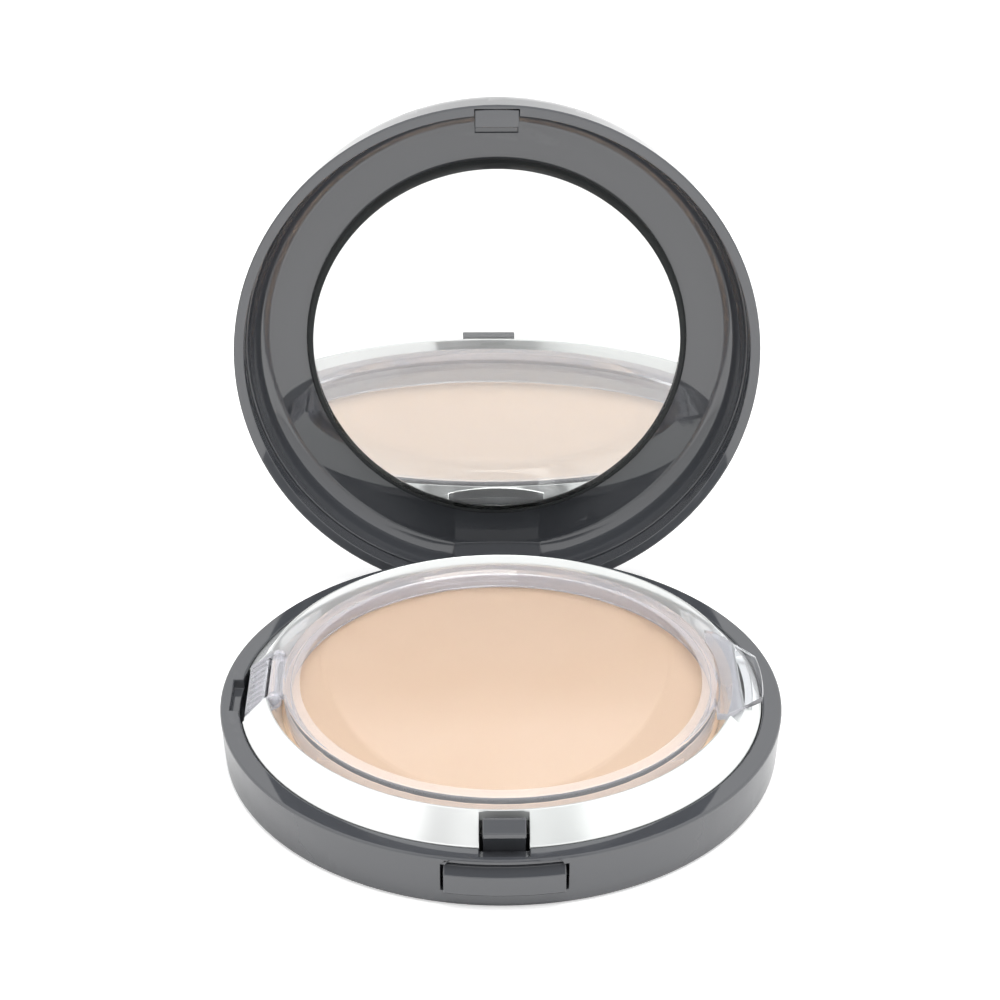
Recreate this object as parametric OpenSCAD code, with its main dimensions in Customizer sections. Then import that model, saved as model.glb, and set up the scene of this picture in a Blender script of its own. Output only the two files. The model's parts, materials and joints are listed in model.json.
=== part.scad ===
// Powder compact, Ø59 mm pan: a hinged case with a mirror, and a lift-out refill under its own clear lid.
// Origin at the centre of the underside, +Z up, +Y towards the main hinge. The case is drawn open.

/* [Case] */
// Outer diameter of the case at its rims
case_d = 75; // [75:0.5:76]
// Height of the base, from the underside to its rim
base_h = 7.5; // [7.5:0.1:8]
// Width of the flat rim on top of the base wall
base_rim_w = 2.6; // [2.5:0.1:2.6]
// Thickness of the base floor
floor_t = 1.3; // [1.3:0.1:1.4]
// Gap between the two rims when the case is closed
parting_gap = 0.15; // [0.1:0.05:0.2]

/* [Main lid] */
// Height of the lid at its middle
lid_h = 10.6; // [10.6:0.1:11]
// Width of the lid's flat rim
lid_rim_w = 1.5; // [1.4:0.1:1.5]
// Depth of the flat panel below the lid's rim
panel_depth = 7.9; // [7.7:0.1:7.9]
// Diameter of the mirror's flat face, inside its bevel
mirror_view_d = 53; // [50:1:54]
// Thickness of the mirror, which stands proud of the panel
mirror_t = 1.8; // [1.5:0.1:1.8]
// How far the lid stands open, from closed
open_angle = 93; // [0:1:93]

/* [Hinge] */
// Distance of the hinge axis behind the middle
hinge_y = 34.3; // [34.2:0.1:34.4]
// Height of the hinge axis
hinge_z = 3.7; // [3.6:0.1:3.8]
// Diameter of the steel hinge pin
pin_d = 1.2; // [1:0.1:1.3]
// Width of the lid's hinge lug
lug_w = 12.8; // [12:0.2:13]

/* [Latch] */
// Width of the push button
button_w = 15; // [14:0.5:15.5]
// Height of the push button
button_h = 3.9; // [3.7:0.1:3.9]
// Width of the hook
hook_w = 5.3; // [5:0.1:5.4]

/* [Refill] */
// Outer diameter of the powder pan
pan_d = 59; // [58:0.5:59]
// Height of the pan's wall
pan_h = 3.95; // [3.5:0.05:3.95]
// Height of the powder surface above the underside
powder_z = 6.7; // [6.5:0.1:6.7]
// Radius of the bright ring's crest
crest_r = 31.5; // [31.4:0.1:31.6]
// Height of the crest above the underside
crest_z = 10.85; // [10.6:0.05:10.9]
// Number of ribs on the plate beside the clear lid's hinge
rib_count = 9; // [5:1:11]

/* [Hidden] */
$fn = 96;
e = 0.01;

case_r = case_d / 2;
base_in_r = case_r - base_rim_w;
base_foot_r = case_r - 1.3;
notch_w = lug_w + 0.6;
label_r = 16;
label_t = 0.15;

// Heights above the underside
parting_z = base_h + parting_gap;
button_z = 2.5;
tray_z = floor_t;
pan_z = tray_z + 0.9;

// Radii of the refill, from the pan outwards
pan_r = pan_d / 2;
pan_wall = 0.3;
tray_in_r = pan_r + 0.15;
tray_r = tray_in_r + 0.95;
ring_in_r = pan_r - 0.15;
ring_out_r = base_in_r - 0.15;
ring_foot_z = 6.2;

// The clear lid's hinge, on the left of the refill
clear_x = -29.9;
clear_z = 10;
clear_barrel_r = 0.95;
clear_barrel_w = 9.4;
clear_pin_r = 0.6;
running = 0.05;
bracket_w = 11.6;

// The lid's inside, as depths from its rim
lid_in_r = case_r - lid_rim_w;
mirror_r = mirror_view_d / 2 + 1;
mirror_depth = panel_depth - mirror_t;
pad_r = 22;
pad_t = 0.2;
frame_top = 3.1;
frame_back = panel_depth + 1.1;

// The hook, as distances in front of the middle
hook_front = 33.8;
hook_t = 1.1;
nose_front = 35.2;
ledge_in = 34.3;
ledge_out = case_r - 0.65;
ledge_t = 1.3;

module ring_slice(points) { rotate_extrude($fn = 180) polygon(points); }

module disc(r, z0, z1) { translate([0, 0, z0]) cylinder(r = r, h = z1 - z0, $fn = 180); }

// A box centred on x, between two y and two z values
module bar(w, y0, y1, z0, z1) { translate([-w / 2, y0, z0]) cube([w, y1 - y0, z1 - z0]); }

// A round rod along x at the main hinge
module hinge_rod(r, x0, x1) {
    translate([x0, hinge_y, hinge_z]) rotate([0, 90, 0]) cylinder(r = r, h = x1 - x0);
}

// A round rod along y at the clear lid's hinge, centred on the middle
module clear_rod(r, w) { translate([clear_x, w / 2, clear_z]) rotate([90, 0, 0]) cylinder(r = r, h = w); }

// A profile in x and z, drawn out along y and centred on the middle
module along_y(w, points) { translate([0, w / 2, 0]) rotate([90, 0, 0]) linear_extrude(w) polygon(points); }

// A profile in y and z, drawn out along x and centred on the middle
module along_x(w, points) {
    translate([-w / 2, 0, 0]) rotate([90, 0, 90]) linear_extrude(w) polygon(points);
}

// The lid is drawn closed, then swung open about the hinge axis
module opened() {
    translate([0, hinge_y, hinge_z]) rotate([-open_angle, 0, 0])
        translate([0, -hinge_y, -hinge_z]) children();
}

// Lifts a shape to the closed lid's rim plane, so that its z is the depth inside the lid
module from_rim() { translate([0, 0, parting_z]) children(); }

module base_shell() {
    boss_w = 3;
    color("#3a3b42") difference() {
        union() {
            difference() {
                ring_slice([
                    [0, 0], [base_foot_r, 0], [base_foot_r + 0.55, 0.25], [case_r - 0.45, 0.8],
                    [case_r, base_h - 0.25], [case_r - 0.2, base_h], [base_in_r + 0.1, base_h],
                    [base_in_r, base_h - 0.1], [base_in_r, floor_t], [0, floor_t]
                ]);
                // shallow well, which the label fills
                disc(label_r, -1, label_t);
            }
            // bosses that carry the hinge pin beside the lug
            intersection() {
                for (s = [-1, 1]) translate([s * (notch_w + boss_w) / 2, 0, 0])
                    bar(boss_w, 32.7, case_r, floor_t - e, 5.5);
                disc(base_in_r + 0.5, 0, base_h);
            }
        }
        // gap in the rear wall, where the lug swings
        bar(notch_w, 31.9, case_r + 1, 0.75, base_h + 1);
        // pin hole, blind on the left and open on the right
        hinge_rod(pin_d / 2 + running, -notch_w / 2 - 2.4, case_r);
        // window for the button
        bar(button_w + 0.7, -case_r - 1, -base_in_r + 1, button_z - 0.1, button_z + button_h + 0.05);
        // finger scoop above the button, with round upper corners
        difference() {
            translate([0, -case_r + 4, 6]) rotate([90, 0, 0]) linear_extrude(6) {
                translate([-7.15, -0.5]) square([14.3, 0.9]);
                translate([-6.35, 0]) square([12.7, 1.2]);
                for (s = [-1, 1]) translate([s * 6.35, 0.4]) circle(0.8);
            }
            disc(case_r - 0.55, 5, base_h + 1);
        }
        // notch in the rim for the hook
        bar(6.2, -36.5, -base_in_r + 2, 5.9, base_h + 1);
        // the rear of the rim is rounded about the hinge axis, so that the lid's rim rolls over it
        difference() {
            bar(31, hinge_y, case_r + 1, hinge_z, base_h + 1);
            hinge_rod(parting_z - hinge_z - 0.1, -16, 16);
        }
        // nail notch in the left rim, to lever the refill out
        intersection() {
            translate([-36, -3.8, base_h - 1.4]) cube([4, 7.6, 3]);
            difference() {
                disc(36.2, 0, base_h + 3);
                disc(base_in_r - 1.5, 0, base_h + 3);
            }
        }
    }
}

module base_label() { color("#8e8e90") disc(label_r, 0, label_t); }

module hinge_pin() { color("#b8bac0") hinge_rod(pin_d / 2, -notch_w / 2 - 2.3, 14); }

// A clip on the base floor behind the button: it guides the hook and holds the spring's two ends
module latch_housing() {
    color("#2e2f34") difference() {
        intersection() {
            union() {
                bar(17, -35, -30.4, floor_t, 2.1);
                for (s = [-1, 1]) translate([s * 7, 0, 0]) bar(1.6, -31.2, -30.4, floor_t, 5.9);
            }
            disc(base_in_r - 0.1, 0, 7);
        }
        disc(tray_r + 0.3, 0, 7);
    }
}

// A bowed strip of spring steel between the housing's two posts, its middle against the hook
module latch_spring() {
    t = 0.18;
    half = 7.5;
    rise = hook_front - hook_t - 31.2 - t;
    r = (half * half + rise * rise) / (2 * rise);
    color("#b8bac0") intersection() {
        translate([0, -31.2 - rise + r, 2.7]) difference() {
            cylinder(r = r + t, h = 2.6, $fn = 360);
            translate([0, 0, -1]) cylinder(r = r, h = 5, $fn = 360);
        }
        bar(2 * half, -36, -31.2, 0, 9);
    }
}

module latch_button() {
    front = case_r + 0.45;
    color("#3a3b42") difference() {
        union() {
            // face, bevelled along its top
            intersection() {
                ring_slice([
                    [32, button_z], [front - 0.15, button_z], [front, button_z + 0.15],
                    [front, button_z + 2.7], [front - 0.8, button_z + button_h - 0.2],
                    [front - 1, button_z + button_h], [32, button_z + button_h]
                ]);
                bar(button_w, -40, -hook_front, 0, 9);
            }
            // flanges that stop the face inside the wall
            intersection() {
                bar(button_w + 2.2, -40, -33.1, button_z, button_z + 3.4);
                disc(base_in_r - 0.1, 0, 9);
            }
        }
        // seat for the hook and its two pegs
        bar(hook_w, -hook_front, -30, 0, 9);
        for (s = [-1, 1]) hook_peg(s);
    }
}

module hook_peg(side) {
    translate([side * 1.5, -hook_front + e, 4.2]) rotate([90, 0, 0]) cylinder(r = 0.5, h = 0.9);
}

module latch_hook() {
    back = hook_front - hook_t;
    color("#3a3b42") {
        along_x(hook_w, [
            [-hook_front, 2.3], [-hook_front, 9.1], [-nose_front, 9.15], [-nose_front, 9.75],
            [-nose_front + 0.15, 9.95], [-hook_front + 0.1, 10.75], [-hook_front + 0.5, 10.85],
            [-back, 10.6], [-back, 2.3]
        ]);
        for (s = [-1, 1]) hook_peg(s);
    }
}

module refill_tray() {
    color("#2e2f34") difference() {
        disc(tray_r, tray_z, ring_foot_z);
        disc(tray_in_r, pan_z, ring_foot_z + 1);
    }
}

// The bright ring: a cone up to the crest, then a short slope down to the powder
module refill_ring() {
    gate_z = 9.6;
    color("#e6e7ea") difference() {
        ring_slice([
            [ring_out_r, 6.6], [ring_out_r, 7.45], [ring_out_r - 0.15, 7.6],
            [crest_r + 0.12, crest_z], [crest_r - 0.12, crest_z],
            [ring_in_r, powder_z + 0.1], [ring_in_r, ring_foot_z], [ring_in_r + 0.95, ring_foot_z],
            [crest_r + 0.05, crest_z - 1.35], [ring_out_r - 1, 7.2], [ring_out_r - 1, 6.6]
        ]);
        // notch for the hook
        bar(6.2, -40, -crest_r - 0.1, 0, 20);
        // notch for the lid's lug
        bar(notch_w, crest_r + 0.3, 40, 0, 20);
        // seat for the clear lid's bracket, and a flat beside it
        translate([-40, -bracket_w / 2 - 0.1, ring_foot_z + 1]) cube([9.9, bracket_w + 0.2, 20]);
        translate([-40, -6.5, 0]) cube([40 - 33.9, 13, 20]);
        // gate for the tab of the clear lid
        translate([crest_r - 3, -10.9, gate_z]) cube([10, 21.8, 5]);
        // finger recess under the tab
        intersection() {
            translate([crest_r + 0.35, -6.5, 8.6]) cube([3, 13, 5]);
            disc(33.5, 0, 20);
        }
    }
}

module powder_pan() {
    color("#c9cacc") difference() {
        disc(pan_r, pan_z, pan_z + pan_h);
        disc(pan_r - pan_wall, pan_z + pan_wall, pan_z + pan_h + 1);
    }
}

module powder_cake() {
    r = pan_r - pan_wall;
    color("#e6cbab") ring_slice([
        [0, pan_z + pan_wall], [r, pan_z + pan_wall], [r, powder_z - 0.35], [r - 0.35, powder_z],
        [0, powder_z]
    ]);
}

// A clear plate with ribs, clipped into the ring, with two ears for the clear lid's stub pins
module clear_lid_bracket() {
    ear_w = 0.9;
    rib_pitch = bracket_w / rib_count;
    color([0.86, 0.9, 0.92, 0.6]) difference() {
        union() {
            along_y(bracket_w, [[-33.8, 7.7], [-33.8, 8.4], [-31.2, 10.15], [-31.2, 8.6], [-32.4, 7.7]]);
            for (i = [0 : rib_count - 1])
                translate([0, (i + 0.5) * rib_pitch - bracket_w / 2, 0]) along_y(rib_pitch * 0.45, [
                    [-33.6, 8.5], [-33.5, 8.8], [-31.6, 10.1], [-31.3, 10], [-31.5, 9.6]
                ]);
            for (s = [-1, 1]) translate([0, s * (bracket_w - ear_w) / 2, 0]) {
                clear_rod(1, ear_w);
                along_y(ear_w, [[-31.3, 9], [-31.3, 10.1], [clear_x, clear_z + 1], [clear_x, clear_z - 1]]);
            }
        }
        clear_rod(clear_pin_r + running, bracket_w + 1);
    }
}

module clear_lid() {
    tip_r = 34.9;
    color([0.9, 0.92, 0.96, 0.45]) difference() {
        union() {
            // bead, plate and skirt
            ring_slice([
                [0, 9.35], [28, 9.35], [28, 6.95], [28.9, 6.95], [29.1, 10.4], [28.65, 10.85],
                [27.3, 10.85], [26.8, 10.35], [0, 10.35]
            ]);
            // tab, sloping down to its tip
            intersection() {
                along_y(24, [[28, 9.8], [28, 10.8], [tip_r, 9.85], [tip_r, 8.95], [31.5, 9.8]]);
                linear_extrude(20) polygon([
                    [27, -10.6], [29.5, -10.3], [34.2, -5.4], [35, -4.6],
                    [35, 4.6], [34.2, 5.4], [29.5, 10.3], [27, 10.6]
                ]);
                disc(tip_r, 0, 20);
            }
            // hinge barrel, its arm and stub pins
            clear_rod(clear_barrel_r, clear_barrel_w);
            clear_rod(clear_pin_r, bracket_w - 0.2);
            translate([clear_x, -clear_barrel_w / 2, 9.7]) cube([2, clear_barrel_w, 0.85]);
        }
        // room round the ears
        for (s = [-1, 1]) translate([0, s * (bracket_w / 2 - 0.45), 0]) intersection() {
            difference() {
                clear_rod(1.15, 1.3);
                clear_rod(clear_pin_r, 1.5);
            }
            translate([-40, -10, 0]) cube([40, 20, 20]);
        }
    }
}

// The space inside the shell, which the inner frame fills from frame_top down
module lid_cavity() {
    ring_slice([[0, -0.2], [lid_in_r, -0.2], [lid_in_r, 4.5], [lid_in_r - 2.1, frame_back], [0, frame_back]]);
}

// The outer shell of the lid: a wall with some draft and a gently domed top
module lid_shell() {
    dome_rise = 0.9;
    dome_edge_r = case_r - 2.6;
    edge_h = lid_h - dome_rise - 0.5;
    color("#3a3b42") opened() from_rim() difference() {
        ring_slice(concat(
            [
                [0, 0], [case_r - 0.15, 0], [case_r, 0.2],
                [case_r - 1.25, edge_h - 0.8], [case_r - 1.7, edge_h]
            ],
            // the dome falls away from the middle as a shallow parabola
            [for (i = [12 : -1 : 0]) let (t = i / 12) [dome_edge_r * t, lid_h - dome_rise * t * t]]
        ));
        lid_cavity();
        // seat for the strike ledge
        bar(6.2, -ledge_out - 0.05, -lid_in_r + 1, -1, ledge_t + 0.1);
    }
}

// The inner frame: panel, strike ledge and hinge lug in one moulding
module lid_frame() {
    color("#3a3b42") opened() difference() {
        union() {
            from_rim() difference() {
                // flat panel with a shallow well for the pad, and a wide fillet up to the rim
                ring_slice([
                    [0, panel_depth + pad_t], [pad_r + 0.1, panel_depth + pad_t], [pad_r + 0.1, panel_depth],
                    [lid_in_r - 3.4, panel_depth], [lid_in_r - 2.4, panel_depth - 0.35],
                    [lid_in_r - 1.5, panel_depth - 1.2], [lid_in_r - 0.8, panel_depth - 2.5],
                    [lid_in_r - 0.4, panel_depth - 3.7], [lid_in_r - 0.3, frame_top], [lid_in_r, frame_top],
                    [lid_in_r, 4.5], [lid_in_r - 2.1, frame_back], [0, frame_back]
                ]);
                // shallow recess in the panel behind the ledge, clear of the hook's nose
                bar(6, -34.3, -31.2, 3, panel_depth + 0.2);
            }
            // strike ledge and the wall that carries it
            from_rim() intersection() {
                union() {
                    bar(6, -ledge_out, -ledge_in, 0.05, ledge_t);
                    bar(6, -36, -35.4, 0.05, 4.4);
                }
                union() {
                    disc(ledge_out, 0, ledge_t);
                    disc(lid_in_r, 0, 9);
                }
            }
            // hinge lug
            intersection() {
                union() {
                    bar(lug_w, hinge_y - 1.6, 37, hinge_z, base_h);
                    bar(lug_w, hinge_y - 1.6, 35.6, hinge_z, parting_z + panel_depth + 0.2);
                    hinge_rod(1.6, -lug_w / 2, lug_w / 2);
                }
                union() {
                    disc(case_r - 0.5, 0, base_h);
                    from_rim() lid_cavity();
                }
            }
        }
        hinge_rod(pin_d / 2 + running, -20, 20);
    }
}

// A glass disc with a bevelled edge, stuck to the panel
module mirror() {
    color("#cfd6da") opened() from_rim() ring_slice([
        [0, mirror_depth], [mirror_view_d / 2, mirror_depth], [mirror_r - 0.35, mirror_depth + 0.5],
        [mirror_r, mirror_depth + 1.1], [mirror_r, panel_depth], [0, panel_depth]
    ]);
}

module mirror_pad() {
    color("#f2f2f0") opened() from_rim() disc(pad_r, panel_depth, panel_depth + pad_t);
}

base_shell();
base_label();
hinge_pin();
latch_housing();
latch_spring();
latch_button();
latch_hook();
refill_tray();
refill_ring();
powder_pan();
powder_cake();
clear_lid_bracket();
clear_lid();
lid_shell();
lid_frame();
mirror();
mirror_pad();
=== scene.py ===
"""A powder compact standing open: dark gloss case, mirror, and a bright refill under its own clear lid."""

import json
import math

import bmesh
import bpy
import numpy as np
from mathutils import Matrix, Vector

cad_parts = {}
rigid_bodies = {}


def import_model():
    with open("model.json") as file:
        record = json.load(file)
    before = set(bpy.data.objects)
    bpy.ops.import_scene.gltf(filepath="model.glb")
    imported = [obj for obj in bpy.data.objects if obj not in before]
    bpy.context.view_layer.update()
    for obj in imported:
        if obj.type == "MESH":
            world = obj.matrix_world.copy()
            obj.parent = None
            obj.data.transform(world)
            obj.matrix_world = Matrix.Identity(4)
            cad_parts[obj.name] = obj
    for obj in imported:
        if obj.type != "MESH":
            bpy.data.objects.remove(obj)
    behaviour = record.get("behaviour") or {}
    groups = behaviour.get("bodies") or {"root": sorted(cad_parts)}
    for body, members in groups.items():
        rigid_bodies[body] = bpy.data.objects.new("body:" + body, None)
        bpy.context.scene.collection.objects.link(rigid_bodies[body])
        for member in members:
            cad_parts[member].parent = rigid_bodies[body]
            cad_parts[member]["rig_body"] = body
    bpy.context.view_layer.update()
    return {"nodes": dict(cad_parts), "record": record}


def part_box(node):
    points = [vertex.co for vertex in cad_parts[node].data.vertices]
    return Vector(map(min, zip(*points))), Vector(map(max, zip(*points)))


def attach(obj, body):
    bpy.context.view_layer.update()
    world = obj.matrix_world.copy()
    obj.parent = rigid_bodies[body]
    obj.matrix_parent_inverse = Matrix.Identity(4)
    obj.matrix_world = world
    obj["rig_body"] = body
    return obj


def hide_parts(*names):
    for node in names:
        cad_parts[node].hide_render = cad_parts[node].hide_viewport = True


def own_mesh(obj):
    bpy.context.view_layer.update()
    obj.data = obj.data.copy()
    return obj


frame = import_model()

MM = 0.001
TURN = 2 * np.pi


# ---------------------------------------------------------------- node helpers

def add_node(tree, kind, inputs=None, **settings):
    """A shader node; inputs maps a socket's name or number to a value or to another node's output."""
    node = tree.nodes.new("ShaderNode" + kind)
    for key, value in settings.items():
        setattr(node, key, value)
    for key, value in (inputs or {}).items():
        socket = node.inputs[key]
        if isinstance(value, bpy.types.NodeSocket):
            tree.links.new(value, socket)
        else:
            socket.default_value = value
    return node


def math_node(tree, operation, first, second=0.0):
    return add_node(tree, "Math", {0: first, 1: second}, operation=operation).outputs[0]


def ramp_node(tree, value, low, high):
    """Rises smoothly from 0 at low to 1 at high."""
    settings = {"Value": value, "From Min": low, "From Max": high}
    return add_node(tree, "MapRange", settings, interpolation_type="SMOOTHSTEP").outputs["Result"]


def new_group(name, inputs, outputs):
    """An empty group with float inputs (and a vector called Vector), and float outputs."""
    group = bpy.data.node_groups.new(name, "ShaderNodeTree")
    group.interface.new_socket("Vector", in_out="INPUT", socket_type="NodeSocketVector")
    for label, value in inputs.items():
        socket = group.interface.new_socket(label, in_out="INPUT", socket_type="NodeSocketFloat")
        socket.default_value = value
    for label in outputs:
        group.interface.new_socket(label, in_out="OUTPUT", socket_type="NodeSocketFloat")
    return group, group.nodes.new("NodeGroupInput").outputs, group.nodes.new("NodeGroupOutput").inputs


# ---------------------------------------------------------------- camera, light and floor

def aim_camera():
    """A long lens, a little left of the middle and looking 28.4 degrees down."""
    pitch, yaw = math.radians(28.4), 0.0123
    forward = Vector((math.sin(yaw) * math.cos(pitch), math.cos(yaw) * math.cos(pitch), -math.sin(pitch)))
    data = bpy.data.cameras.new("camera")
    data.lens, data.sensor_width = 90.7, 36
    camera = bpy.data.objects.new("camera", data)
    camera.location = Vector((-3.62, -284.6, 190.8)) * MM
    camera.rotation_mode = "QUATERNION"
    camera.rotation_quaternion = forward.to_track_quat("-Z", "Y")
    data.clip_start, data.clip_end = 0.01, 20
    bpy.context.scene.collection.objects.link(camera)
    bpy.context.scene.camera = camera


def soft_panel(name, where, target, size, power):
    """A rectangular softbox at `where` that faces `target`, all in metres and watts."""
    data = bpy.data.lights.new(name, "AREA")
    data.shape, data.size, data.size_y = "RECTANGLE", *size
    data.energy = power
    lamp = bpy.data.objects.new(name, data)
    lamp.location = where
    lamp.rotation_mode = "QUATERNION"
    lamp.rotation_quaternion = (Vector(target) - Vector(where)).to_track_quat("-Z", "Y")
    lamp.visible_glossy = False
    bpy.context.scene.collection.objects.link(lamp)


def light_studio():
    """A white room with a black card in front, about 33 to 51 degrees up, and a dimmer patch of ceiling."""
    world = bpy.data.worlds.new("studio")
    world.use_nodes = True
    tree = world.node_tree
    ray = add_node(tree, "SeparateXYZ", {0: add_node(tree, "TexCoord").outputs["Generated"]}).outputs
    level = math_node(tree, "SQRT", math_node(tree, "SUBTRACT", 1.0, math_node(tree, "POWER", ray["Z"], 2.0)))
    ahead = math_node(tree, "DIVIDE", ray["Y"], level)
    in_front = ramp_node(tree, ahead, -0.70, -0.90)
    card = math_node(tree, "MULTIPLY", ramp_node(tree, ray["Z"], 0.54, 0.60), in_front)
    card = math_node(tree, "MULTIPLY", card, ramp_node(tree, ray["Z"], 0.78, 0.70))
    card = math_node(tree, "MULTIPLY", card, 0.88)
    ceiling = math_node(tree, "MULTIPLY", ramp_node(tree, ray["Z"], 0.93, 0.99), 0.5)
    room = math_node(tree, "SUBTRACT", math_node(tree, "SUBTRACT", 1.0, card), ceiling)
    # the room behind the object stays plain white for the camera itself
    seen = add_node(tree, "LightPath").outputs["Is Camera Ray"]
    strength = math_node(tree, "MAXIMUM", room, seen)
    background = tree.nodes["Background"]
    background.inputs["Color"].default_value = (1, 1, 1, 1)
    tree.links.new(strength, background.inputs["Strength"])
    scene = bpy.context.scene
    scene.world = world
    scene.view_settings.view_transform = "Standard"
    soft_panel("top_softbox", (0.08, -0.1, 0.7), (0, 0, 0.01), (0.5, 0.5), 4.2)


def lay_floor():
    """A matt white floor, far wider than the view, level with the underside of the case."""
    mesh = bpy.data.meshes.new("floor")
    mesh.from_pydata([(-3, -3, 0), (3, -3, 0), (3, 3, 0), (-3, 3, 0)], [], [(0, 1, 2, 3)])
    floor = bpy.data.objects.new("floor", mesh)
    bpy.context.scene.collection.objects.link(floor)
    material, shader = new_material("floor_white", (0.9, 0.9, 0.9), {"Roughness": 0.9})
    shader.inputs["Emission Color"].default_value = (1, 1, 1, 1)
    # the floor glows for the camera alone, so that reflections of it stay softer
    tree = material.node_tree
    glow = math_node(tree, "MULTIPLY", add_node(tree, "LightPath").outputs["Is Camera Ray"], 0.45)
    tree.links.new(glow, shader.inputs["Emission Strength"])
    floor.data.materials.append(material)


# ---------------------------------------------------------------- effects that materials share

def build_gloss_marks():
    """Handling marks on gloss: soft smudges and fine hairlines, as a roughness and a height."""
    tree, given, out = new_group(
        "gloss_marks", {"Base": 0.03, "Smudge": 0.05, "Hairline": 0.05}, ["Roughness", "Height"])
    patches = {"Vector": given["Vector"], "Scale": 90, "Detail": 3, "Roughness": 0.6}
    cloud = add_node(tree, "TexNoise", patches)
    smudge = ramp_node(tree, cloud.outputs[0], 0.45, 0.75)
    lines = None
    for turn, stretch in ((0.4, (30, 2500, 400)), (-0.9, (2200, 40, 500))):
        laid = add_node(tree, "Mapping", {"Vector": given["Vector"], "Rotation": (turn, 0.3, turn)})
        laid = add_node(tree, "VectorMath", {0: laid.outputs[0], 1: stretch}, operation="MULTIPLY")
        strokes = add_node(tree, "TexNoise", {"Vector": laid.outputs[0], "Scale": 1, "Detail": 1})
        thin = ramp_node(tree, strokes.outputs[0], 0.68, 0.8)
        lines = thin if lines is None else math_node(tree, "MAXIMUM", lines, thin)
    hazy = math_node(tree, "MULTIPLY", smudge, given["Smudge"])
    ruled = math_node(tree, "MULTIPLY", lines, given["Hairline"])
    rough = math_node(tree, "ADD", math_node(tree, "ADD", given["Base"], hazy), ruled)
    peel = add_node(tree, "TexNoise", {"Vector": given["Vector"], "Scale": 420, "Detail": 1})
    height = math_node(tree, "SUBTRACT", math_node(tree, "MULTIPLY", peel.outputs[0], 0.5), ruled)
    tree.links.new(rough, out["Roughness"])
    tree.links.new(height, out["Height"])
    return tree


def build_fine_grain():
    """An even grain of two sizes, as a height and as a value from 0 to 1 for colour."""
    tree, given, out = new_group("fine_grain", {"Scale": 3000, "Patch": 60}, ["Height", "Speck", "Cloud"])
    coarse = add_node(
        tree, "TexNoise", {"Vector": given["Vector"], "Scale": given["Scale"], "Detail": 4, "Roughness": 0.7})
    cell = add_node(tree, "TexVoronoi", {"Vector": given["Vector"], "Scale": given["Scale"]})
    pits = math_node(tree, "MULTIPLY", cell.outputs["Distance"], 0.6)
    height = math_node(tree, "ADD", coarse.outputs[0], pits)
    cloud = add_node(tree, "TexNoise", {"Vector": given["Vector"], "Scale": given["Patch"], "Detail": 2})
    tree.links.new(height, out["Height"])
    tree.links.new(ramp_node(tree, coarse.outputs[0], 0.35, 0.7), out["Speck"])
    tree.links.new(ramp_node(tree, cloud.outputs[0], 0.3, 0.7), out["Cloud"])
    return tree


def build_turned_lines():
    """Fine rings about the z axis, as a lathe or a spinning press leaves them."""
    tree, given, out = new_group("turned_lines", {"Pitch": 0.0003}, ["Height"])
    apart = add_node(tree, "SeparateXYZ", {0: given["Vector"]})
    squares = [math_node(tree, "POWER", apart.outputs[axis], 2.0) for axis in ("X", "Y")]
    radius = math_node(tree, "SQRT", math_node(tree, "ADD", *squares))
    turn = math_node(tree, "DIVIDE", radius, given["Pitch"])
    rings = add_node(tree, "TexNoise", {"W": turn, "Scale": 1, "Detail": 2}, noise_dimensions="1D")
    tree.links.new(rings.outputs[0], out["Height"])
    return tree


def build_edge_wear():
    """A mask of the convex edges, broken up by noise, where handling dulls a gloss."""
    tree, given, out = new_group("edge_wear", {"Amount": 0.5}, ["Mask"])
    edge = ramp_node(tree, add_node(tree, "NewGeometry").outputs["Pointiness"], 0.53, 0.62)
    rubbed = add_node(tree, "TexNoise", {"Vector": given["Vector"], "Scale": 500, "Detail": 3})
    broken = math_node(tree, "MULTIPLY", edge, ramp_node(tree, rubbed.outputs[0], 0.35, 0.65))
    tree.links.new(math_node(tree, "MULTIPLY", broken, given["Amount"]), out["Mask"])
    return tree


EFFECTS = {"gloss_marks": build_gloss_marks(), "fine_grain": build_fine_grain(),
           "turned_lines": build_turned_lines(), "edge_wear": build_edge_wear()}


# ---------------------------------------------------------------- materials

def new_material(name, colour, values):
    """A material with one Principled shader; values maps its sockets' names to constants."""
    material = bpy.data.materials.new(name)
    material.use_nodes = True
    shader = material.node_tree.nodes["Principled BSDF"]
    shader.inputs["Base Color"].default_value = (*colour, 1)
    for key, value in values.items():
        shader.inputs[key].default_value = value
    return material, shader


def place_effect(material, effect, **values):
    """One of the shared effects in a material, on Object coordinates, with its own values."""
    tree = material.node_tree
    group = add_node(tree, "Group", node_tree=EFFECTS[effect])
    tree.links.new(add_node(tree, "TexCoord").outputs["Object"], group.inputs["Vector"])
    for key, value in values.items():
        group.inputs[key].default_value = value
    return group.outputs


def bump(material, shader, height, strength, depth):
    """Lets a height from 0 to 1 stand `depth` millimetres proud, at a given strength."""
    given = {"Height": height, "Strength": strength, "Distance": depth * MM}
    relief = add_node(material.node_tree, "Bump", given)
    material.node_tree.links.new(relief.outputs[0], shader.inputs["Normal"])


def blend_colours(material, shader, mask, first, second):
    """Base colour: first where the mask is 0, second where it is 1."""
    tree = material.node_tree
    mix = add_node(tree, "Mix", {"Factor": mask}, data_type="RGBA")
    mix.inputs["A"].default_value = (*first, 1)
    mix.inputs["B"].default_value = (*second, 1)
    tree.links.new(mix.outputs["Result"], shader.inputs["Base Color"])


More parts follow.
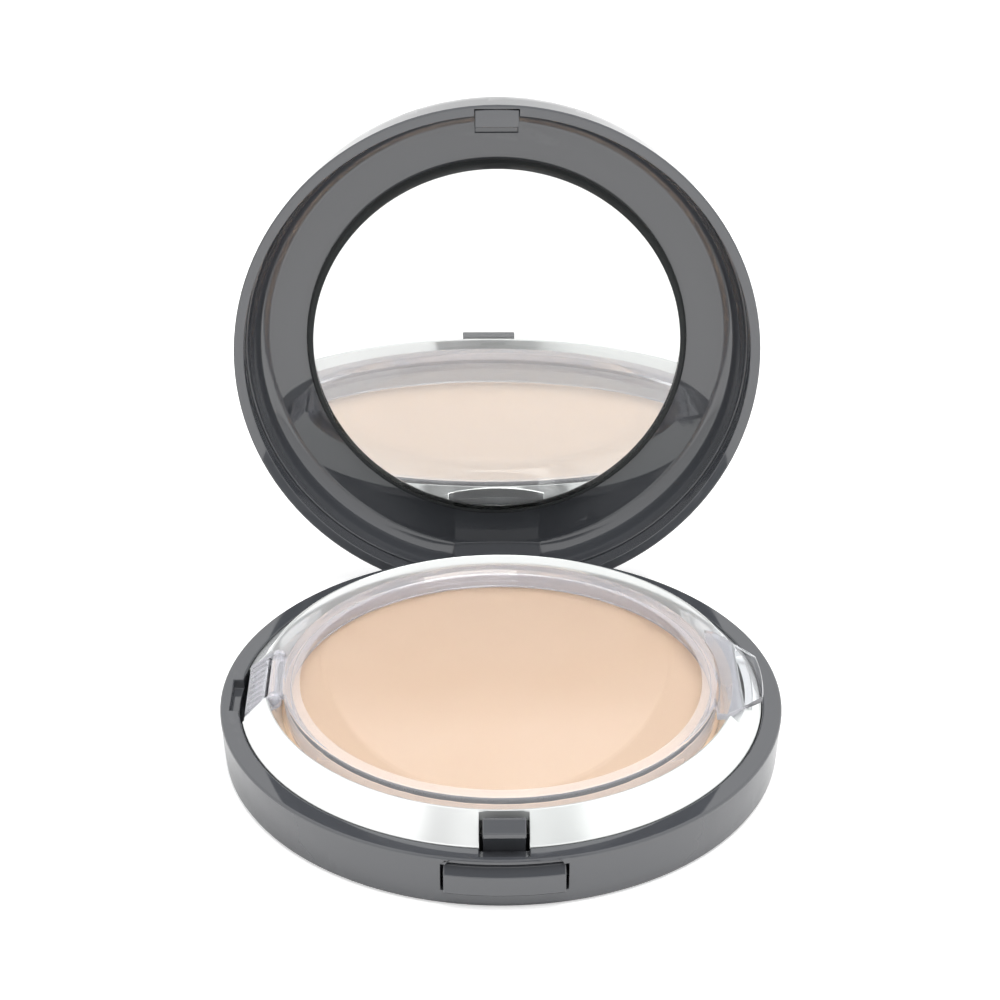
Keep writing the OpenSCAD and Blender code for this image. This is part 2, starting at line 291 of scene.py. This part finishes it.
def charcoal_gloss():
    """Polished dark moulding, with faint smudges, hairlines and slightly dulled edges."""
    body = (0.054, 0.057, 0.064)
    material, shader = new_material("charcoal_gloss", body, {"IOR": 1.9})
    marks = place_effect(material, "gloss_marks", Base=0.025, Smudge=0.02, Hairline=0.03)
    wear = place_effect(material, "edge_wear", Amount=0.35)
    rough = math_node(material.node_tree, "MULTIPLY_ADD", wear["Mask"], 0.12)
    material.node_tree.links.new(marks["Roughness"], rough.node.inputs[2])
    material.node_tree.links.new(rough, shader.inputs["Roughness"])
    blend_colours(material, shader, wear["Mask"], body, (0.085, 0.087, 0.096))
    bump(material, shader, marks["Height"], 0.15, 0.01)
    return material


def black_satin():
    """Spark-eroded dark plastic, for what sits inside the case."""
    material, shader = new_material("black_satin", (0.022, 0.022, 0.024), {"Roughness": 0.42})
    grain = place_effect(material, "fine_grain", Scale=2600, Patch=80)
    blend_colours(material, shader, grain["Cloud"], (0.020, 0.020, 0.022), (0.030, 0.030, 0.032))
    bump(material, shader, grain["Height"], 0.5, 0.03)
    return material


def metallised_plastic():
    """Pearly vacuum plating over a white moulding, a little green-grey where it is thin."""
    material, shader = new_material("metallised_plastic", (0.94, 0.955, 0.95), {"Metallic": 0.66})
    marks = place_effect(material, "gloss_marks", Base=0.07, Smudge=0.10, Hairline=0.06)
    cloud = place_effect(material, "fine_grain", Scale=1500, Patch=45)["Cloud"]
    blend_colours(material, shader, cloud, (0.965, 0.975, 0.97), (0.90, 0.925, 0.915))
    material.node_tree.links.new(marks["Roughness"], shader.inputs["Roughness"])
    bump(material, shader, marks["Height"], 0.12, 0.02)
    return material


def clear_styrene(name="clear_styrene", colour=(0.975, 0.975, 1.0), clearness=1.0):
    """Water-clear moulding with a breath of lavender, soft hairlines and slight flow waves."""
    values = {"Transmission Weight": clearness, "IOR": 1.38}
    material, shader = new_material(name, colour, values)
    marks = place_effect(material, "gloss_marks", Base=0.0, Smudge=0.015, Hairline=0.04)
    material.node_tree.links.new(marks["Roughness"], shader.inputs["Roughness"])
    bump(material, shader, marks["Height"], 0.06, 0.02)
    return material


def mirror_glass():
    """Float glass, all but colourless."""
    values = {"Transmission Weight": 1.0, "IOR": 1.52, "Roughness": 0.0}
    material, shader = new_material("mirror_glass", (0.985, 0.985, 0.985), values)
    marks = place_effect(material, "gloss_marks", Base=0.0, Smudge=0.006, Hairline=0.01)
    material.node_tree.links.new(marks["Roughness"], shader.inputs["Roughness"])
    return material


def painted_dark_reflection_bevel():
    """The mirror's ground bevel, coloured near-black: a painted dark reflection, which makes it look dark
    against its face.
    """
    material, shader = new_material("painted_dark_reflection_bevel", (0.045, 0.048, 0.048), {"IOR": 1.52})
    marks = place_effect(material, "gloss_marks", Base=0.12, Smudge=0.05, Hairline=0.1)
    material.node_tree.links.new(marks["Roughness"], shader.inputs["Roughness"])
    return material


def pan_aluminium():
    material, shader = new_material("pan_aluminium", (0.80, 0.80, 0.81), {"Metallic": 1.0, "Roughness": 0.32})
    turned = place_effect(material, "turned_lines", Pitch=0.00025)
    bump(material, shader, turned["Height"], 0.4, 0.02)
    return material


def pressed_powder():
    """Fine pressed powder: a matt peach with a soft grain and a few paler specks."""
    base = (0.90, 0.675, 0.475)
    values = {"Roughness": 0.95, "Specular IOR Level": 0.2, "Sheen Weight": 0.08, "Sheen Roughness": 0.5}
    material, shader = new_material("pressed_powder", base, values)
    grain = place_effect(material, "fine_grain", Scale=5200, Patch=70)
    tree = material.node_tree
    tone = math_node(tree, "ADD", math_node(tree, "MULTIPLY", grain["Speck"], 0.6),
                     math_node(tree, "MULTIPLY", grain["Cloud"], 0.4))
    blend_colours(material, shader, tone, (0.885, 0.655, 0.455), (0.925, 0.705, 0.510))
    bump(material, shader, grain["Height"], 0.35, 0.03)
    return material


def silvered_glass():
    """The silver film of a mirror, with fine wiping marks."""
    material, shader = new_material("silvered_glass", (0.94, 0.945, 0.94), {"Metallic": 1.0})
    marks = place_effect(material, "gloss_marks", Base=0.0, Smudge=0.008, Hairline=0.02)
    material.node_tree.links.new(marks["Roughness"], shader.inputs["Roughness"])
    return material


def spring_steel():
    material, shader = new_material("spring_steel", (0.60, 0.60, 0.62), {"Metallic": 1.0})
    marks = place_effect(material, "gloss_marks", Base=0.22, Smudge=0.1, Hairline=0.25)
    material.node_tree.links.new(marks["Roughness"], shader.inputs["Roughness"])
    bump(material, shader, marks["Height"], 0.3, 0.02)
    return material


def foam_pad():
    material, shader = new_material("foam_pad", (0.80, 0.80, 0.77), {"Roughness": 0.9})
    grain = place_effect(material, "fine_grain", Scale=1800, Patch=200)
    blend_colours(material, shader, grain["Speck"], (0.74, 0.74, 0.71), (0.84, 0.84, 0.82))
    bump(material, shader, grain["Height"], 0.8, 0.1)
    return material


def blank_label():
    """A plain satin paper label with two thin printed rings and no lettering."""
    material, shader = new_material("blank_label", (0.27, 0.27, 0.28), {"Roughness": 0.5})
    tree = material.node_tree
    apart = add_node(tree, "SeparateXYZ", {0: add_node(tree, "TexCoord").outputs["Object"]})
    squares = [math_node(tree, "POWER", apart.outputs[axis], 2.0) for axis in ("X", "Y")]
    radius = math_node(tree, "SQRT", math_node(tree, "ADD", *squares))
    rings = None
    for place, half_width in ((14.6 * MM, 0.22 * MM), (13.9 * MM, 0.09 * MM)):
        off = math_node(tree, "ABSOLUTE", math_node(tree, "SUBTRACT", radius, place))
        ring = math_node(tree, "LESS_THAN", off, half_width)
        rings = ring if rings is None else math_node(tree, "MAXIMUM", rings, ring)
    blend_colours(material, shader, rings, (0.27, 0.27, 0.28), (0.62, 0.62, 0.63))
    grain = place_effect(material, "fine_grain", Scale=2400, Patch=90)
    bump(material, shader, grain["Height"], 0.3, 0.02)
    return material


# ---------------------------------------------------------------- surfaces

def rounded(corners, radius, steps=5):
    """A profile whose inner corners turn into short curves, (1-t)^2 a + 2t(1-t) c + t^2 b.

    a and b lie on the two sides of corner c, `radius` away from it or halfway along a short side.
    """
    corners = np.asarray(corners, float)
    middle = corners[1:-1, None]
    before, after = corners[:-2, None] - middle, corners[2:, None] - middle
    lengths = [np.linalg.norm(side, axis=2, keepdims=True) for side in (before, after)]
    first, last = (
        middle + side * np.minimum(radius, length * 0.49) / length
        for side, length in zip((before, after), lengths)
    )
    t = np.linspace(0, 1, steps)[None, :, None]
    curves = (1 - t) ** 2 * first + 2 * t * (1 - t) * middle + t ** 2 * last
    return np.vstack([corners[:1], curves.reshape(-1, 2), corners[-1:]])


def lathe(profile, turns=240):
    """Each (r, z) of the profile goes round the z axis: x = r cos a, y = r sin a."""
    angle = np.linspace(0, TURN, turns, endpoint=False)[None]
    r, z = np.asarray(profile, float).T[:, :, None]
    return np.stack([r * np.cos(angle), r * np.sin(angle), z + 0 * angle], axis=-1)


def grid_mesh(name, grid, loop_rows=False, loop_columns=True):
    """A mesh over a grid of points in millimetres, closed along its rows, its columns or both."""
    rows, columns = grid.shape[:2]
    i = np.arange(rows if loop_rows else rows - 1)[:, None]
    j = np.arange(columns if loop_columns else columns - 1)[None]
    below, right = (i + 1) % rows, (j + 1) % columns
    corners = [i * columns + j, i * columns + right, below * columns + right, below * columns + j]
    quads = np.stack(corners, axis=-1)
    mesh = bpy.data.meshes.new(name)
    mesh.from_pydata((grid.reshape(-1, 3) * MM).tolist(), [], quads.reshape(-1, 4).tolist())
    return mesh


def soften(mesh, sharp):
    """Merges doubles, closes poles, turns the faces outwards and marks edges over `sharp` degrees."""
    shape = bmesh.new()
    shape.from_mesh(mesh)
    bmesh.ops.remove_doubles(shape, verts=shape.verts, dist=1e-6)
    bmesh.ops.dissolve_degenerate(shape, edges=shape.edges, dist=1e-7)
    bmesh.ops.recalc_face_normals(shape, faces=shape.faces)
    for face in shape.faces:
        face.smooth = True
    for edge in shape.edges:
        edge.smooth = not (edge.is_manifold and edge.calc_face_angle(0) > math.radians(sharp))
    shape.to_mesh(mesh)
    shape.free()


def add_piece(name, mesh, body, slot, *nodes):
    """Puts a finished mesh into the scene on a CAD body, with its slot's finish."""
    piece = bpy.data.objects.new(name, mesh)
    bpy.context.scene.collection.objects.link(piece)
    mesh.materials.append(FINISHES[slot])
    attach(piece, body)
    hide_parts(*nodes)
    return piece


def moulding(node, width, sharp=30, segments=3):
    """A merged copy of a CAD solid, smooth-shaded, with its sharp edges rounded by `width` millimetres."""
    source = frame["nodes"][node]
    mesh = bpy.data.meshes.new(node + "_moulding")
    shape = bmesh.new()
    shape.from_mesh(source.data)
    bmesh.ops.remove_doubles(shape, verts=shape.verts, dist=1e-6)
    bmesh.ops.dissolve_limit(shape, angle_limit=math.radians(0.3), verts=shape.verts, edges=shape.edges)
    shape.to_mesh(mesh)
    shape.free()
    soften(mesh, sharp)
    piece = add_piece(node + "_moulding", mesh, source["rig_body"], SLOT_OF[node], node)
    bevel = piece.modifiers.new("edge_round", "BEVEL")
    bevel.width, bevel.segments = width * MM, segments
    bevel.limit_method, bevel.angle_limit = "ANGLE", math.radians(sharp)
    bevel.use_clamp_overlap = False
    # flat faces stay flat: each corner's normal leans to the larger face beside it
    weighted = piece.modifiers.new("flat_faces", "WEIGHTED_NORMAL")
    weighted.keep_sharp = True
    return piece


def span(node, axis):
    """A CAD node's lowest and highest place along an axis, in millimetres."""
    low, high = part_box(node)
    return low[axis] / MM, high[axis] / MM


def swing_open(grid):
    """Turns points drawn on the closed case about the main hinge, to where the lid stands at rest."""
    y, z = grid[..., 1] - HINGE_Y, grid[..., 2] - HINGE_Z
    cos, sin = math.cos(OPEN_ANGLE), math.sin(OPEN_ANGLE)
    return np.stack([grid[..., 0], HINGE_Y + y * cos + z * sin, HINGE_Z - y * sin + z * cos], axis=-1)


# ---------------------------------------------------------------- the refill

def make_powder():
    """A lathe: flat top, soft shoulder that meets the ring's lip, and a side inside the pan."""
    low, top = span("powder_cake", 2)
    edge = span("powder_cake", 0)[1]
    lip = edge + 0.13
    profile = [(0, low), (edge, low), (edge, top - 0.5), (lip, top - 0.42), (lip, top), (0, top)]
    mesh = grid_mesh("powder_cake_pressed", lathe(rounded(profile, 0.3)))
    soften(mesh, 40)
    add_piece("powder_cake_pressed", mesh, "refill", "powder", "powder_cake")


def make_pan():
    """A lathe: a drawn cup with a rounded corner at its foot and a rounded lip."""
    low, top = span("powder_pan", 2)
    out = span("powder_pan", 0)[1]
    wall = 0.3
    outside = [(0, low), (out, low), (out, top), (out - wall, top), (out - wall, low + wall), (0, low + wall)]
    mesh = grid_mesh("powder_pan_drawn", lathe(rounded(outside, 0.14)))
    soften(mesh, 40)
    add_piece("powder_pan_drawn", mesh, "refill", "pan", "powder_pan")


def make_clear_lid():
    """The clear mouldings: water-clear in the plate and the tab, while the thick bead and the hinge are made
    paler and less clear as a painted white sheen for the light they refract and reflect.
    """
    painted_sheen_clear = clear_styrene("painted_sheen_styrene", (0.94, 0.94, 0.985), 0.75)
    for piece in (moulding("clear_lid", 0.12, sharp=50), moulding("clear_lid_bracket", 0.04)):
        piece.data.materials.append(painted_sheen_clear)
        corners = np.empty(len(piece.data.vertices) * 3)
        piece.data.vertices.foreach_get("co", corners)
        reach = np.hypot(*corners.reshape(-1, 3)[:, :2].T)
        # faces outside the flat plate and the tab take the paler, less clear finish: a painted white sheen
        for face in piece.data.polygons:
            plate = reach[list(face.vertices)].max() < 28.05 * MM and abs(face.normal.z) > 0.99
            tab = face.center.x > 29.2 * MM and abs(face.normal.z) > 0.9
            face.material_index = 0 if plate or tab else 1


# ---------------------------------------------------------------- the lid

def lid_lathe(profile, turns=200):
    """A lathe about the closed lid's axis, with z as the depth from its rim, swung open."""
    grid = lathe(profile, turns)
    grid[..., 2] += RIM_Z
    return swing_open(grid)


def make_mirror():
    """Two lathes: a glass disc whose bevelled edge carries a painted dark reflection, and the silver film
    behind it.
    """
    edge = span("mirror", 0)[1]
    face, front, back, film = edge - 1, PANEL_DEPTH - MIRROR_T, PANEL_DEPTH, 0.02
    glass = [(0, front), (face, front), (edge - 0.35, front + 0.5), (edge, front + 1.1), (edge, back - film)]
    mesh = grid_mesh("mirror_glass", lid_lathe(rounded(glass + [(0, back - film)], 0.08, 4)))
    soften(mesh, 25)
    piece = add_piece("mirror_glass", mesh, "lid", "mirror", "mirror")
    piece.data.materials[0] = mirror_glass()
    piece.data.materials.append(painted_dark_reflection_bevel())
    axis = Vector((0, math.sin(OPEN_ANGLE), math.cos(OPEN_ANGLE)))
    # the bevel faces take the second material, a near-black painted dark reflection; the flat face stays
    # clear glass
    for face in piece.data.polygons:
        face.material_index = int(abs(face.normal.dot(axis)) < 0.97)
    silver = [(0, back - film / 2), (edge - 0.3, back - film / 2), (edge - 0.3, back), (0, back)]
    mesh = grid_mesh("mirror_silver", lid_lathe(silver))
    soften(mesh, 30)
    add_piece("mirror_silver", mesh, "lid", "mirror", "mirror")


def make_pad():
    """A lathe: a thin foam disc with a soft edge, in a shallow well behind the mirror."""
    front, back, edge = PANEL_DEPTH, PANEL_DEPTH + PAD_T, span("mirror_pad", 0)[1]
    profile = rounded([(0, front), (edge, front), (edge, back), (0, back)], 0.08)
    mesh = grid_mesh("mirror_pad_foam", lid_lathe(profile, 120))
    soften(mesh, 40)
    add_piece("mirror_pad_foam", mesh, "lid", "pad", "mirror_pad")


# ---------------------------------------------------------------- hinge, latch and label

def make_hinge_pin():
    """A lathe turned to lie along x: domed ends, and a straight knurl r = r0 + k cos 18a near one end."""
    low, high = span("hinge_pin", 0)
    r0 = (span("hinge_pin", 2)[1] - span("hinge_pin", 2)[0]) / 2
    profile = rounded([(0, low), (r0, low), (r0, high), (0, high)], 0.3, steps=7)
    along = np.linspace(0, 1, 40)[:, None]
    side = np.hstack([np.full((40, 1), r0), profile[7, 1] * (1 - along) + profile[8, 1] * along])
    profile = np.vstack([profile[:8], side[1:-1], profile[8:]])
    angle = np.linspace(0, TURN, 72, endpoint=False)
    knurled = (profile[:, 1] > high - 4) & (profile[:, 1] < high - 0.6)
    radius = profile[:, :1] - 0.025 * knurled[:, None] * (1 - np.cos(18 * angle))[None]
    x = profile[:, 1:] + 0 * angle[None]
    grid = np.stack([x, HINGE_Y + radius * np.cos(angle), HINGE_Z + radius * np.sin(angle)], axis=-1)
    mesh = grid_mesh("hinge_pin_turned", grid)
    soften(mesh, 50)
    add_piece("hinge_pin_turned", mesh, "pin", "steel", "hinge_pin")


def make_spring():
    """A strip carried along an arc: place (R sin a, c - R cos a), with a rounded section."""
    (left, right), (front, rear), (low, high) = (span("latch_spring", axis) for axis in range(3))
    thick = 0.18
    half, rise = (right - left) / 2, rear - front - thick
    radius = (half ** 2 + rise ** 2) / (2 * rise) + thick / 2
    reach = math.asin(half / (radius + thick / 2))
    corners = [(0, low), (thick / 2, low), (thick / 2, high), (-thick / 2, high), (-thick / 2, low), (0, low)]
    section = rounded(corners, 0.06)[:-1]
    a = np.linspace(-reach, reach, 64)[:, None]
    offset = radius + section[None, :, 0]
    centre = front + thick / 2 + radius
    grid = np.stack([offset * np.sin(a), centre - offset * np.cos(a), section[None, :, 1] + 0 * a], axis=-1)
    # each end closes on the middle of its own section
    ends = [end.mean(axis=1, keepdims=True) + 0 * end for end in (grid[:1], grid[-1:])]
    mesh = grid_mesh("latch_spring_strip", np.vstack([ends[0], grid, ends[1]]))
    soften(mesh, 50)
    piece = add_piece("latch_spring_strip", mesh, "base", "steel", "latch_spring")
    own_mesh(piece)


def make_label():
    """A lathe: a thin disc with a soft edge, flush with the underside."""
    edge, (low, high) = span("base_label", 0)[1], span("base_label", 2)
    profile = rounded([(0, low), (edge, low), (edge, high), (0, high)], 0.05)
    mesh = grid_mesh("base_label_paper", lathe(profile, 160))
    soften(mesh, 50)
    add_piece("base_label_paper", mesh, "base", "label", "base_label")


# ---------------------------------------------------------------- making it all

record = frame["record"]
SLOT_OF = {part["node"]: part["material_slot"] for part in record["subparts"]}
LID_HINGE = next(joint for joint in record["behaviour"]["joints"] if joint["name"] == "lid_hinge")
HINGE_Y, HINGE_Z = LID_HINGE["pos_m"][1] / MM, LID_HINGE["pos_m"][2] / MM
OPEN_ANGLE = math.radians(-LID_HINGE["range_deg"][0])
# the closed lid's rim above the underside, then depths and thicknesses inside the lid, in millimetres
RIM_Z, PANEL_DEPTH = 7.65, 7.9
MIRROR_T, PAD_T = 1.8, 0.2

aim_camera()
light_studio()
lay_floor()
FINISHES = {
    "case": charcoal_gloss(), "inner_plastic": black_satin(), "bright_ring": metallised_plastic(),
    "clear_plastic": clear_styrene(), "pan": pan_aluminium(), "powder": pressed_powder(),
    "mirror": silvered_glass(), "steel": spring_steel(), "pad": foam_pad(), "label": blank_label(),
}

moulding("base_shell", 0.12)
moulding("lid_shell", 0.1)
moulding("lid_frame", 0.1)
moulding("latch_housing", 0.1)
moulding("latch_button", 0.15)
moulding("latch_hook", 0.1)
moulding("refill_tray", 0.1)
moulding("refill_ring", 0.08)
make_clear_lid()
make_powder()
make_pan()
make_mirror()
make_pad()
make_hinge_pin()
make_spring()
make_label()
